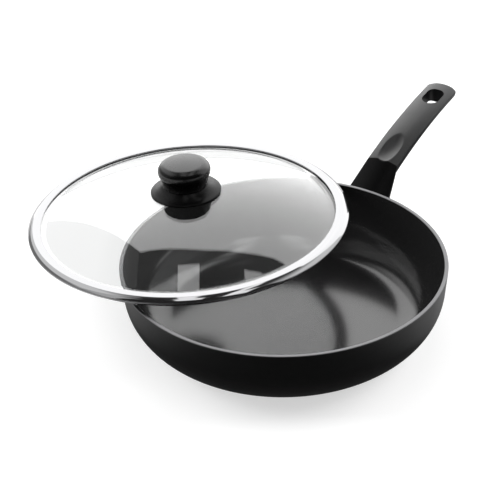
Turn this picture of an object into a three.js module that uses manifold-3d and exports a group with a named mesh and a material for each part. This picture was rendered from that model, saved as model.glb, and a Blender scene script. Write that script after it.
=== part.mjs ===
// Saute pan with a domed glass lid. Millimetres, +Z up.
// The origin is the centre of the base's underside, and the handle points along +X.
// The lid lies off centre on the rim and leans down on the side where it hangs over.

import * as THREE from 'three';
import { mergeVertices } from 'three/addons/utils/BufferGeometryUtils.js';
import Module from 'manifold-3d';

const { degToRad, lerp } = THREE.MathUtils;

// Clearance kept between pieces that seat on or in each other
const GAP = 0.3;

// Pan body
const BORE_RADIUS = 140;
const WALL = 3.5;
const PAN_HEIGHT = 67;
const WALL_LEAN = degToRad(4.9);
const CORNER_RADIUS = 48;
const BASE_THICKNESS = 5.2;
const RIM_BEVEL = 0.6;

// Steel disc in the underside
const DISC_THICKNESS = 1.6;
const DISC_MARGIN = 5;
const DISC_PROUD = 0.4;

// Handle
const NECK_DROP = 3.5;
const NECK_LENGTH = 30.5;
const NECK_RISE = 20.5;
const NECK_WIDTH = 44.5;
const NECK_DEPTH = 27;
const CREASE_DEPTH = 16;
const GRIP_LENGTH = 120.6;
const GRIP_RISE = 26.4;
const GRIP_BOW = 3.6;
const GRIP_WIDTH = 31;
const END_DEPTH = 16;
const GRIP_WAIST = 1;
const NECK_SHOULDER = 8;
const GRIP_SHOULDER = 3;
const END_ROUND = 5.6;
const END_TIP_SHARE = 0.97;
const WALL_OVERRUN = 9.5;

// Roundness of the handle's edges: 1 is an ellipse, less is squarer
const NECK_TOP_ROUNDNESS = 0.8;
const NECK_BELLY_ROUNDNESS = 0.45;
const CREASE_BELLY_ROUNDNESS = 0.62;
const GRIP_TOP_ROUNDNESS = 0.4;
const END_BELLY_ROUNDNESS = 1.1;
const END_ROUNDNESS = 0.8;

// Hanging hole and thumb dent of the handle
const HOLE_WIDTH = 17.3;
const HOLE_LENGTH = 23.6;
const HOLE_MARGIN = 11.9;
const HOLE_CORNER = 6;
const DENT_LENGTH = 38;
const DENT_WIDTH = 20.5;
const DENT_DEPTH = 3;
const DENT_PAST_CREASE = 3;

// Bracket inside the neck
const PAD_WIDTH = 18;
const PAD_HEIGHT = 12;
const PAD_THICKNESS = 3;
const TONGUE_WIDTH = 16;
const TONGUE_THICKNESS = 4;
const TONGUE_LENGTH = 30;

// Handle screw and its washer
const HANDLE_SCREW_REACH = 18;
const HANDLE_SCREW_RADIUS = 2.1;
const HANDLE_SCREW_LENGTH = 12;
const HANDLE_HEAD_RADIUS = 4;
const HANDLE_HEAD_HEIGHT = 2.4;
const HANDLE_WASHER_RADIUS = 4.6;
const HANDLE_WASHER_THICKNESS = 0.8;
const HANDLE_SEAT_WALL = 3;

// Lid band, a rolled steel strip
const LID_OVERHANG = 2;
const LID_PLAY = 1.2;
const BAND_SHEET = 0.8;
const BAND_WIDTH = 11.8;
const BAND_TOP_WIDTH = 7.1;
const BAND_SHOULDER = 3.2;
const BAND_SIDE = 1.9;
const BAND_LIP = 1.1;
const BAND_BEVEL = 3;
const SKIRT_DROP = 3.6;

// Lid glass
const GLASS_THICKNESS = 4;
const GLASS_RISE = 26.5;
const GLASS_BORDER = 9.9;
const GLASS_HOLE_RADIUS = 5;
const GLASS_EDGE_ROOM = 3.8;

// Knob
const KNOB_SKIRT_RADIUS = 31.8;
const KNOB_SKIRT_EDGE = 1.2;
const KNOB_SKIRT_HEIGHT = 6;
const KNOB_SKIRT_WALL = 2.6;
const FLARE_REACH = 0.4;
const FLARE_LIFT = 0.35;
const KNOB_WAIST_RADIUS = 20.3;
const KNOB_WIDEST_RADIUS = 23.9;
const KNOB_WIDEST_HEIGHT = 13.4;
const KNOB_HEIGHT = 22.6;
const KNOB_TOP_RADIUS = 16;
const KNOB_CROWN = 2;
const KNOB_HUB_RADIUS = 9;

// Knob fastening
const INSERT_RADIUS = 4.5;
const INSERT_LENGTH = 13;
const KNOB_SCREW_RADIUS = 2.4;
const KNOB_SCREW_GRIP = 10;
const KNOB_HEAD_RADIUS = 5;
const KNOB_HEAD_HEIGHT = 3;
const KNOB_WASHER_RADIUS = 8;
const KNOB_WASHER_THICKNESS = 1.2;
const GROMMET_RADIUS = 9.5;
const GROMMET_FLANGE = 1.5;
const GROMMET_WALL = 1.6;

// Drive recess of both screws
const DRIVE_WIDTH = 1;
const DRIVE_SHARE = 0.6;

// Where the lid lies on the rim: how far off centre, which way from the handle, and its lean that way
const LID_SHIFT = 109.5;
const LID_BEARING = degToRad(84.5);
const LID_LEAN = degToRad(2.7);

// Fineness of the facets; an arc gets twice its number of steps
const PAN_SEGMENTS = 54;
const KNOB_SEGMENTS = 32;
const BOLT_SEGMENTS = 20;
const CORNER_STEPS = 4;
const DOME_STEPS = 4;
const KNOB_STEPS = 4;
const HOLE_STEPS = 8;
const DENT_SEGMENTS = 24;
const SECTION_POINTS = 20;
const GRIP_STATIONS = 10;
const END_STATIONS = 5;

const wasm = await Module();
wasm.setup();

// Geometry helpers

// Position-only copy with shared vertices merged and flat triangles left out
function weld(geometry) {
  const bare = geometry.clone();
  bare.deleteAttribute('normal');
  bare.deleteAttribute('uv');
  const merged = mergeVertices(bare, 1e-4);
  const corners = merged.index.array;
  const kept = [];
  for (let i = 0; i < corners.length; i += 3) {
    const [a, b, c] = corners.slice(i, i + 3);
    if (a !== b && b !== c && c !== a) kept.push(a, b, c);
  }
  merged.setIndex(kept);
  return merged;
}

function toSolid(geometry) {
  const welded = weld(geometry);
  const vertProperties = new Float32Array(welded.attributes.position.array);
  const triVerts = new Uint32Array(welded.index.array);
  return new wasm.Manifold(new wasm.Mesh({ numProp: 3, vertProperties, triVerts }));
}

function fromSolid(solid) {
  const mesh = solid.getMesh();
  const geometry = new THREE.BufferGeometry();
  geometry.setAttribute('position', new THREE.BufferAttribute(mesh.vertProperties, 3));
  geometry.setIndex(new THREE.BufferAttribute(mesh.triVerts, 1));
  return geometry;
}

function cut(geometry, ...tools) {
  return fromSolid(tools.reduce((solid, tool) => solid.subtract(toSolid(tool)), toSolid(geometry)));
}

function join(...geometries) {
  return fromSolid(geometries.map(toSolid).reduce((a, b) => a.add(b)));
}

// Turned piece about +Z from a closed outline of (radius, height) points, drawn anticlockwise
function turned(points, segments) {
  const geometry = new THREE.LatheGeometry(points, segments);
  geometry.rotateX(Math.PI / 2);
  return weld(geometry);
}

// Straight outline of [radius, height] pairs, closed on its first point
function outline(pairs) {
  const points = pairs.map(([radius, height]) => new THREE.Vector2(radius, height));
  return [...points, points[0].clone()];
}

function box(width, depth, height) {
  return new THREE.BoxGeometry(width, depth, height);
}

function ring(inner, outer, low, high) {
  return turned(outline([[inner, low], [outer, low], [outer, high], [inner, high]]), BOLT_SEGMENTS);
}

// Solid skin over a row of rings that have equal numbers of points, with flat ends
function loft(rings) {
  const count = rings[0].length;
  const positions = rings.flat().flatMap((point) => point.toArray());
  const index = [];
  for (let row = 0; row + 1 < rings.length; row += 1) {
    for (let k = 0; k < count; k += 1) {
      const a = row * count + k;
      const b = row * count + ((k + 1) % count);
      index.push(a, b, b + count, a, b + count, a + count);
    }
  }
  const last = (rings.length - 1) * count;
  for (let k = 1; k + 1 < count; k += 1) {
    index.push(0, k + 1, k, last, last + k, last + k + 1);
  }
  const geometry = new THREE.BufferGeometry();
  geometry.setAttribute('position', new THREE.Float32BufferAttribute(positions, 3));
  geometry.setIndex(index);
  return geometry;
}

// Screw along +Z with its head below z = 0 and a cross recess in the head
function screw(radius, length, headRadius, headHeight) {
  const bevel = headHeight / 4;
  const blank = turned(outline([
    [0, -headHeight], [headRadius - bevel, -headHeight], [headRadius, bevel - headHeight],
    [headRadius, 0], [radius, 0], [radius, length], [0, length],
  ]), BOLT_SEGMENTS);
  const reach = 2 * DRIVE_SHARE * headRadius;
  const along = box(reach, DRIVE_WIDTH, headHeight).translate(0, 0, -headHeight);
  const across = box(DRIVE_WIDTH, reach, headHeight).translate(0, 0, -headHeight);
  return cut(blank, along, across);
}

function material(color, roughness, metalness) {
  return new THREE.MeshStandardMaterial({ color, roughness, metalness });
}

function part(name, geometry, finish) {
  const mesh = new THREE.Mesh(geometry, finish);
  mesh.name = name;
  return mesh;
}

// Finishes

const blackCoat = () => material(0x17181a, 0.5, 0.2);
const blackMoulding = () => material(0x1c1c1e, 0.55, 0);
const brightSteel = () => material(0xd5d8da, 0.15, 1);
const plainSteel = () => material(0xa8abad, 0.4, 1);
const clearGlass = () => {
  const finish = material(0xdfe8e8, 0.02, 0);
  finish.transparent = true;
  finish.opacity = 0.25;
  return finish;
};

// Pan body

const rimRadius = BORE_RADIUS + WALL;
const bodyLow = DISC_PROUD;

// Arc between a flat floor and a wall that leans out to topRadius at the rim
function cornerArc(topRadius, floor, radius) {
  const centreHeight = floor + radius;
  const wallRadius = topRadius - (PAN_HEIGHT - centreHeight) * Math.tan(WALL_LEAN);
  const centreRadius = wallRadius - radius / Math.cos(WALL_LEAN);
  const path = new THREE.Path();
  path.absarc(centreRadius, centreHeight, radius, -Math.PI / 2, -WALL_LEAN, false);
  return path.getPoints(CORNER_STEPS);
}

const outerCorner = cornerArc(rimRadius, bodyLow, CORNER_RADIUS);
const innerCorner = cornerArc(BORE_RADIUS, BASE_THICKNESS, CORNER_RADIUS - WALL);
const discRadius = outerCorner[0].x - DISC_MARGIN;
const recessHeight = DISC_THICKNESS + GAP;

function panBody() {
  const underside = [
    new THREE.Vector2(0, recessHeight),
    new THREE.Vector2(discRadius + GAP, recessHeight),
    new THREE.Vector2(discRadius + GAP, bodyLow),
  ];
  const rim = [
    new THREE.Vector2(rimRadius, PAN_HEIGHT - RIM_BEVEL),
    new THREE.Vector2(rimRadius - RIM_BEVEL, PAN_HEIGHT),
    new THREE.Vector2(BORE_RADIUS + RIM_BEVEL, PAN_HEIGHT),
    new THREE.Vector2(BORE_RADIUS, PAN_HEIGHT - RIM_BEVEL),
  ];
  const floor = new THREE.Vector2(0, BASE_THICKNESS);
  const inside = [...innerCorner].reverse();
  return turned([...underside, ...outerCorner, ...rim, ...inside, floor], PAN_SEGMENTS);
}

// Filled outer shape of the pan, grown by the clearance, for cutting what seats on the wall
function wallTool() {
  const grown = outerCorner.map((point) => new THREE.Vector2(point.x + GAP, point.y));
  const top = [
    new THREE.Vector2(rimRadius + GAP, PAN_HEIGHT),
    new THREE.Vector2(0, PAN_HEIGHT),
  ];
  return turned([new THREE.Vector2(0, bodyLow), ...grown, ...top], PAN_SEGMENTS);
}

function inductionBase() {
  return turned(outline([
    [0, 0], [discRadius, 0], [discRadius, DISC_THICKNESS], [0, DISC_THICKNESS],
  ]), PAN_SEGMENTS);
}

// Handle: its sections stand square to X

const creaseX = rimRadius + NECK_LENGTH;
const neckTop = PAN_HEIGHT - NECK_DROP;
const creaseTop = neckTop + NECK_RISE;

function handleSection(x) {
  if (x <= creaseX) {
    const share = (x - rimRadius) / NECK_LENGTH;
    const onward = Math.max(0, share);
    return {
      top: lerp(neckTop, creaseTop, share),
      depth: lerp(NECK_DEPTH, CREASE_DEPTH, share),
      halfWidth: lerp(NECK_WIDTH, GRIP_WIDTH, share) / 2,
      shoulder: lerp(NECK_SHOULDER, GRIP_SHOULDER, onward),
      topRoundness: lerp(NECK_TOP_ROUNDNESS, GRIP_TOP_ROUNDNESS, onward),
      bellyRoundness: lerp(NECK_BELLY_ROUNDNESS, CREASE_BELLY_ROUNDNESS, onward),
    };
  }
  const share = (x - creaseX) / GRIP_LENGTH;
  const hump = 4 * share * (1 - share);
  const roundStart = creaseX + GRIP_LENGTH - END_ROUND;
  const intoRound = (END_TIP_SHARE * Math.max(0, x - roundStart)) / END_ROUND;
  const narrowing = (1 - intoRound ** (2 / END_ROUNDNESS)) ** (END_ROUNDNESS / 2);
  return {
    top: creaseTop + GRIP_RISE * share + GRIP_BOW * hump,
    depth: lerp(CREASE_DEPTH, END_DEPTH, share) - GRIP_WAIST * hump,
    halfWidth: (GRIP_WIDTH / 2) * narrowing,
    shoulder: GRIP_SHOULDER,
    topRoundness: GRIP_TOP_ROUNDNESS,
    bellyRoundness: lerp(CREASE_BELLY_ROUNDNESS, END_BELLY_ROUNDNESS, share),
  };
}

// Flat top with tight edges over a round belly
function handleRing(x) {
  const { top, depth, halfWidth, shoulder, topRoundness, bellyRoundness } = handleSection(x);
  return Array.from({ length: SECTION_POINTS }, (_, k) => {
    const angle = (2 * Math.PI * k) / SECTION_POINTS;
    const side = Math.cos(angle);
    const up = Math.sin(angle);
    const power = up >= 0 ? topRoundness : bellyRoundness;
    const height = up >= 0 ? shoulder : depth - shoulder;
    const y = Math.sign(side) * halfWidth * Math.abs(side) ** power;
    const z = top - shoulder + Math.sign(up) * height * Math.abs(up) ** power;
    return new THREE.Vector3(x, y, z);
  });
}

function handleBlank() {
  const stations = [rimRadius - WALL_OVERRUN, rimRadius, creaseX];
  const straight = GRIP_LENGTH - END_ROUND;
  for (let k = 1; k <= GRIP_STATIONS; k += 1) stations.push(creaseX + (straight * k) / GRIP_STATIONS);
  for (let k = 1; k <= END_STATIONS; k += 1) {
    const angle = (Math.PI / 2) * (k / END_STATIONS);
    stations.push(creaseX + straight + END_ROUND * Math.sin(angle));
  }
  return loft(stations.map(handleRing));
}

// Slope of the grip's top at x
function gripSlope(x) {
  const share = (x - creaseX) / GRIP_LENGTH;
  return Math.atan((GRIP_RISE + 4 * GRIP_BOW * (1 - 2 * share)) / GRIP_LENGTH);
}

// Round towards the pan and squarer towards the handle's end
function hangingHoleTool() {
  const radius = HOLE_WIDTH / 2;
  const shape = new THREE.Shape();
  shape.absarc(radius, 0, radius, Math.PI / 2, (3 * Math.PI) / 2, false);
  shape.lineTo(HOLE_LENGTH - HOLE_CORNER, -radius);
  shape.quadraticCurveTo(HOLE_LENGTH, -radius, HOLE_LENGTH, HOLE_CORNER - radius);
  shape.lineTo(HOLE_LENGTH, radius - HOLE_CORNER);
  shape.quadraticCurveTo(HOLE_LENGTH, radius, HOLE_LENGTH - HOLE_CORNER, radius);
  const depth = 4 * END_DEPTH;
  const options = { depth, bevelEnabled: false, curveSegments: HOLE_STEPS };
  const geometry = new THREE.ExtrudeGeometry(shape, options);
  const centre = creaseX + GRIP_LENGTH - HOLE_MARGIN - HOLE_LENGTH / 2;
  geometry.translate(-HOLE_LENGTH / 2, 0, -depth / 2);
  geometry.rotateY(-gripSlope(centre));
  return geometry.translate(centre, 0, handleSection(centre).top);
}

// Shallow bowl: a stretched ball that dips into the top by the dent's depth
function dentTool() {
  const lift = 3 * DENT_DEPTH;
  const ballDepth = lift + DENT_DEPTH;
  const spread = 1 / Math.sqrt(1 - (lift / ballDepth) ** 2);
  const ball = new THREE.SphereGeometry(1, DENT_SEGMENTS, DENT_SEGMENTS / 2);
  ball.scale((DENT_LENGTH / 2) * spread, (DENT_WIDTH / 2) * spread, ballDepth);
  const centre = creaseX + DENT_LENGTH / 2 - DENT_PAST_CREASE;
  ball.rotateY(-gripSlope(centre));
  return ball.translate(centre, 0, handleSection(centre).top + lift);
}

// Bracket: a pad on the wall and a tongue along the middle of the neck

const neckMiddle = neckTop - NECK_DEPTH / 2;
const tongueAngle = Math.atan2(creaseTop - CREASE_DEPTH / 2 - neckMiddle, NECK_LENGTH);

function padBlank(grow) {
  const length = WALL_OVERRUN + PAD_THICKNESS + grow;
  const block = box(length, PAD_WIDTH + 2 * grow, PAD_HEIGHT + 2 * grow);
  return block.translate(rimRadius - WALL_OVERRUN + length / 2, 0, neckMiddle);
}

function tongueBlank(grow) {
  const bar = box(TONGUE_LENGTH + grow, TONGUE_WIDTH + 2 * grow, TONGUE_THICKNESS + 2 * grow);
  bar.translate((TONGUE_LENGTH + grow) / 2, 0, 0);
  return bar.rotateY(-tongueAngle).translate(rimRadius, 0, neckMiddle);
}

// The handle screw's frame: origin under its head, +Z into the tongue
const screwPlace = new THREE.Matrix4();
{
  const under = TONGUE_THICKNESS / 2 + GAP + HANDLE_SEAT_WALL + HANDLE_WASHER_THICKNESS + 2 * GAP;
  screwPlace.makeTranslation(rimRadius, 0, neckMiddle);
  screwPlace.multiply(new THREE.Matrix4().makeRotationY(-tongueAngle));
  screwPlace.multiply(new THREE.Matrix4().makeTranslation(HANDLE_SCREW_REACH, 0, -under));
}

function screwHoleTool() {
  const hole = ring(0, HANDLE_SCREW_RADIUS + GAP, 0, HANDLE_SCREW_LENGTH + GAP);
  return hole.applyMatrix4(screwPlace);
}

// Counterbore that opens out of the neck's underside
function screwSeatTool() {
  const seat = HANDLE_WASHER_THICKNESS + 2 * GAP;
  const well = ring(0, HANDLE_WASHER_RADIUS + GAP, -NECK_DEPTH, seat);
  return well.applyMatrix4(screwPlace);
}

function handleBracket() {
  return cut(join(padBlank(0), tongueBlank(0)), wallTool(), screwHoleTool());
}

function handleGrip() {
  return cut(
    handleBlank(), wallTool(), hangingHoleTool(), dentTool(),
    padBlank(GAP), tongueBlank(GAP), screwHoleTool(), screwSeatTool(),
  );
}

// Lid, in its own frame: +Z along the knob, z = 0 on the band's flat top

const lidOuter = rimRadius + LID_OVERHANG;
const skirtRadius = BORE_RADIUS - LID_PLAY;
const lipRadius = lidOuter - BAND_WIDTH;
const topRadius = lipRadius + BAND_TOP_WIDTH;
const borderTop = -BAND_LIP - GAP;
const borderLow = borderTop - GLASS_THICKNESS;
const bandLow = borderLow - GAP - BAND_SHEET;
const skirtLow = bandLow - SKIRT_DROP;

// Slope of the band's shoulder, a cone from its flat top down to its side
const shoulderSlope = Math.atan2(BAND_SHOULDER, BAND_WIDTH - BAND_TOP_WIDTH);

function lidBand() {
  const sideLow = -BAND_SHOULDER - BAND_SIDE;
  const sheet = BAND_SHEET;
  const outside = [
    new THREE.Vector2(lipRadius, -BAND_LIP),
    new THREE.Vector2(lipRadius, -sheet / 2),
    new THREE.Vector2(lipRadius + sheet / 2, 0),
    new THREE.Vector2(topRadius, 0),
    new THREE.Vector2(lidOuter, -BAND_SHOULDER),
    new THREE.Vector2(lidOuter, sideLow),
    new THREE.Vector2(lidOuter - BAND_BEVEL, bandLow),
    new THREE.Vector2(skirtRadius, bandLow),
    new THREE.Vector2(skirtRadius, skirtLow),
  ];
  const inside = [
    new THREE.Vector2(skirtRadius - sheet, skirtLow),
    new THREE.Vector2(skirtRadius - sheet, bandLow + sheet),
    new THREE.Vector2(lidOuter - BAND_BEVEL - sheet / 2, bandLow + sheet),
    new THREE.Vector2(lidOuter - sheet, sideLow + sheet / 2),
    new THREE.Vector2(lidOuter - sheet, -BAND_SHOULDER - sheet * Math.tan(Math.PI / 4 - shoulderSlope / 2)),
    new THREE.Vector2(topRadius - sheet * Math.tan(shoulderSlope / 2), -sheet),
    new THREE.Vector2(lipRadius + sheet, -sheet),
    new THREE.Vector2(lipRadius + sheet, -BAND_LIP),
  ];
  const section = [...outside, ...inside].reverse();
  return turned([...section, section[0].clone()], PAN_SEGMENTS);
}

// Glass: a ball's cap with a flat border in the band

const glassRadius = lidOuter - BAND_SHEET - GLASS_EDGE_ROOM;
const domeRadius = glassRadius - GLASS_BORDER;
const ballRadius = (domeRadius ** 2 + GLASS_RISE ** 2) / (2 * GLASS_RISE);
const ballCentre = borderTop + GLASS_RISE - ballRadius;
const crown = borderTop + GLASS_RISE;

// Height of the dome at a radius, a given depth into the glass
function domeHeight(radius, depth) {
  return ballCentre + Math.sqrt((ballRadius - depth) ** 2 - radius ** 2);
}

// Arc of a ball from the centre hole out to the border's level
function domeArc(radius, level) {
  const start = Math.acos(GLASS_HOLE_RADIUS / radius);
  const end = Math.asin((level - ballCentre) / radius);
  const path = new THREE.Path();
  path.absarc(0, ballCentre, radius, start, end, true);
  return path.getPoints(DOME_STEPS);
}

function lidGlass() {
  const border = [
    new THREE.Vector2(glassRadius, borderLow),
    new THREE.Vector2(glassRadius, borderTop),
  ];
  const low = domeArc(ballRadius - GLASS_THICKNESS, borderLow);
  const high = domeArc(ballRadius, borderTop).reverse();
  const section = [...low, ...border, ...high];
  return turned([...section, section[0].clone()], PAN_SEGMENTS);
}

// Knob, standing on the glass

const shankClear = KNOB_SCREW_RADIUS + GAP;
const edgeLow = domeHeight(KNOB_SKIRT_RADIUS, 0) + GAP;
const flareLow = edgeLow + KNOB_SKIRT_EDGE;
const skirtTop = flareLow + KNOB_SKIRT_HEIGHT;
const gripLow = skirtTop + GAP;

function knobSkirt() {
  const footRadius = KNOB_SKIRT_RADIUS - KNOB_SKIRT_WALL;
  const flare = new THREE.Path();
  flare.moveTo(KNOB_SKIRT_RADIUS, flareLow);
  flare.quadraticCurveTo(
    lerp(KNOB_WAIST_RADIUS, KNOB_SKIRT_RADIUS, FLARE_REACH), lerp(flareLow, skirtTop, FLARE_LIFT),
    KNOB_WAIST_RADIUS, skirtTop,
  );
  const hollowTop = skirtTop - KNOB_SKIRT_WALL;
  const section = [
    new THREE.Vector2(shankClear, crown + GAP),
    new THREE.Vector2(KNOB_HUB_RADIUS, crown + GAP),
    new THREE.Vector2(KNOB_HUB_RADIUS, hollowTop),
    new THREE.Vector2(KNOB_WAIST_RADIUS - KNOB_SKIRT_WALL, hollowTop),
    new THREE.Vector2(footRadius, domeHeight(footRadius, 0) + GAP),
    new THREE.Vector2(KNOB_SKIRT_RADIUS, edgeLow),
    ...flare.getPoints(KNOB_STEPS),
    new THREE.Vector2(shankClear, skirtTop),
  ];
  return turned([...section, section[0].clone()], KNOB_SEGMENTS);
}

function knobGrip() {
  const boreTop = gripLow + INSERT_LENGTH + GAP;
  const widest = gripLow + KNOB_WIDEST_HEIGHT;
  const top = gripLow + KNOB_HEIGHT;
  const topEdge = top - KNOB_CROWN;
  const side = new THREE.Path();
  side.moveTo(KNOB_WAIST_RADIUS, gripLow);
  side.quadraticCurveTo(KNOB_WAIST_RADIUS, (gripLow + widest) / 2, KNOB_WIDEST_RADIUS, widest);
  side.quadraticCurveTo(KNOB_WIDEST_RADIUS, topEdge, KNOB_TOP_RADIUS, topEdge);
  side.quadraticCurveTo(KNOB_TOP_RADIUS / 2, top, 0, top);
  const section = [
    new THREE.Vector2(0, boreTop),
    new THREE.Vector2(INSERT_RADIUS + GAP, boreTop),
    new THREE.Vector2(INSERT_RADIUS + GAP, gripLow),
    ...side.getPoints(KNOB_STEPS),
  ];
  return turned(section, KNOB_SEGMENTS);
}

function knobInsert() {
  return ring(shankClear, INSERT_RADIUS, gripLow, gripLow + INSERT_LENGTH);
}

// Rubber bush: a flange under the glass and a sleeve through its hole
const grommetTop = domeHeight(GROMMET_RADIUS, GLASS_THICKNESS) - GAP;
const grommetLow = grommetTop - GROMMET_FLANGE;

function knobGrommet() {
  const sleeve = GLASS_HOLE_RADIUS - GAP;
  return turned(outline([
    [sleeve - GROMMET_WALL, grommetLow], [GROMMET_RADIUS, grommetLow], [GROMMET_RADIUS, grommetTop],
    [sleeve, grommetTop], [sleeve, crown], [sleeve - GROMMET_WALL, crown],
  ]), BOLT_SEGMENTS);
}

const washerTop = grommetLow - GAP;
const headTop = washerTop - KNOB_WASHER_THICKNESS - GAP;

function knobWasher() {
  return ring(shankClear, KNOB_WASHER_RADIUS, washerTop - KNOB_WASHER_THICKNESS, washerTop);
}

function knobScrew() {
  const length = gripLow + KNOB_SCREW_GRIP - headTop;
  const geometry = screw(KNOB_SCREW_RADIUS, length, KNOB_HEAD_RADIUS, KNOB_HEAD_HEIGHT);
  return geometry.translate(0, 0, headTop);
}

// Height of the lid's frame so that its leaning skirt just clears the rim where the two rings cross

function lidHeight() {
  const skirtInner = skirtRadius - BAND_SHEET;
  const crossing = (LID_SHIFT ** 2 + rimRadius ** 2 - skirtInner ** 2) / (2 * LID_SHIFT);
  const rise = (LID_SHIFT - crossing) * Math.tan(LID_LEAN);
  return PAN_HEIGHT + GAP - rise - skirtLow / Math.cos(LID_LEAN);
}

// Assembly

const handleScrew = new THREE.Group();
handleScrew.applyMatrix4(screwPlace);
handleScrew.add(
  part('handle_screw', screw(
    HANDLE_SCREW_RADIUS, HANDLE_SCREW_LENGTH, HANDLE_HEAD_RADIUS, HANDLE_HEAD_HEIGHT,
  ), plainSteel()),
  part('handle_washer', ring(
    HANDLE_SCREW_RADIUS + GAP, HANDLE_WASHER_RADIUS, GAP, GAP + HANDLE_WASHER_THICKNESS,
  ), plainSteel()),
);

const pan = new THREE.Group();
pan.add(
  part('pan_body', panBody(), blackCoat()),
  part('induction_base', inductionBase(), plainSteel()),
  part('handle_bracket', handleBracket(), plainSteel()),
  part('handle_grip', handleGrip(), blackMoulding()),
  handleScrew,
);

const lid = new THREE.Group();
lid.position.set(LID_SHIFT, 0, lidHeight());
lid.rotation.y = LID_LEAN;
lid.add(
  part('lid_glass', lidGlass(), clearGlass()),
  part('lid_band', lidBand(), brightSteel()),
  part('knob_grip', knobGrip(), blackMoulding()),
  part('knob_skirt', knobSkirt(), blackMoulding()),
  part('knob_insert', knobInsert(), material(0xb08d4a, 0.35, 1)),
  part('knob_grommet', knobGrommet(), material(0x2a2a2a, 0.8, 0)),
  part('knob_washer', knobWasher(), plainSteel()),
  part('knob_screw', knobScrew(), plainSteel()),
);

const lidBearing = new THREE.Group();
lidBearing.rotation.z = LID_BEARING;
lidBearing.add(lid);

const panWithLid = new THREE.Group();
panWithLid.add(pan, lidBearing);

export default panWithLid;
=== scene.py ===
"""Looks of a saute pan with a domed glass lid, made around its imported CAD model. Metres, +Z up."""

import math

import bmesh
import bpy
from bpy.props import FloatProperty, FloatVectorProperty, PointerProperty
from bpy.types import NodeSocket, Operator, Panel, PropertyGroup
from mathutils import Matrix, Vector


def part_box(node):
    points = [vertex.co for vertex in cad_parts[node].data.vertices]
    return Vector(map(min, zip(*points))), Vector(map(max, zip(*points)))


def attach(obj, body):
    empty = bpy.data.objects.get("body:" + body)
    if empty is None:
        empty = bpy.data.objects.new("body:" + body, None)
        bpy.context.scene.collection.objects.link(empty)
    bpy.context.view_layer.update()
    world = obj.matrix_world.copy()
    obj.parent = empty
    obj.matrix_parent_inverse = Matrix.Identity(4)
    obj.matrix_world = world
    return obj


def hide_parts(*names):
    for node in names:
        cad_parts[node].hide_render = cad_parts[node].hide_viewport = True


bl_info = {
    "name": "Saute Pan",
    "version": (1, 0, 0),
    "blender": (4, 5, 0),
    "location": "View3D > Sidebar > Saute Pan",
    "description": "Dresses the packed saute pan and its lid and sets them on a studio stage",
    "category": "Object",
}

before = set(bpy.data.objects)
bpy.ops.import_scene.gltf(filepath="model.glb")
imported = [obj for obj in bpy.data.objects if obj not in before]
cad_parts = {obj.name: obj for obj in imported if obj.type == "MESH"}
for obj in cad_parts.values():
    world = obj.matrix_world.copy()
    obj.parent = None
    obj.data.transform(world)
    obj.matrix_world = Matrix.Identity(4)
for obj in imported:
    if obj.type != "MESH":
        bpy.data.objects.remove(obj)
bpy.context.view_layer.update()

# Clearance between pieces that seat on each other, as in the CAD model
GAP = 0.0003

# Fineness of the meshes
TURN_STEPS = 144
ROUND_STEPS = 8
BIG_ROUND = 0.02
BIG_ROUND_STEPS = 28
DOME_STEPS = 36
RING_POINTS = 108
RING_SAMPLES = 540
NECK_STEPS = 28
GRIP_STEPS = 112
END_STEPS = 16
WELL_STEPS = 48
MERGE_DISTANCE = 1e-6
SHARP_ANGLE = math.radians(32)

# Roundings of small edges
HAIR_ROUND = 0.0002
FINE_ROUND = 0.0003
EDGE_ROUND = 0.0004
SOFT_ROUND = 0.0005


# Settings


def length(name, default, description):
    return FloatProperty(
        name=name, description=description, default=default, min=0, unit="LENGTH", precision=5
    )


def angle(name, default, description):
    return FloatProperty(
        name=name, description=description, default=math.radians(default), subtype="ANGLE"
    )


def factor(name, default, description):
    return FloatProperty(name=name, description=description, default=default, min=0)


def colour(name, default, description):
    return FloatVectorProperty(
        name=name, description=description, default=default, min=0, max=1, subtype="COLOR"
    )


class PanSizes(PropertyGroup):
    """Sizes of the pan's vessel and the disc in its underside"""

    rim_radius: length("Rim radius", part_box("pan_body")[1].y, "Outer radius at the rim")
    height: length("Height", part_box("pan_body")[1].z, "Height of the rim above the table")
    stand: length("Stand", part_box("pan_body")[0].z, "How far the disc lifts the vessel")
    wall: length("Wall", 0.0035, "Thickness of the wall")
    lean: angle("Wall lean", 4.9, "How far the wall leans out")
    corner: length("Corner radius", 0.048, "Outer radius between base and wall")
    inner_corner: length("Inner corner radius", 0.0385, "Inner radius between floor and wall")
    floor: length("Floor", 0.0059, "Height of the inside floor's edge above the table")
    floor_dome: length("Floor dome", 0.0018, "Rise of the inside floor to its middle")
    rim_bevel: length("Rim bevel", 0.0006, "Rounding of the rim's edges")
    disc_radius: length("Disc radius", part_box("induction_base")[1].y, "Radius of the steel disc")
    disc: length("Disc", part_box("induction_base")[1].z, "Thickness of the steel disc")


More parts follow.
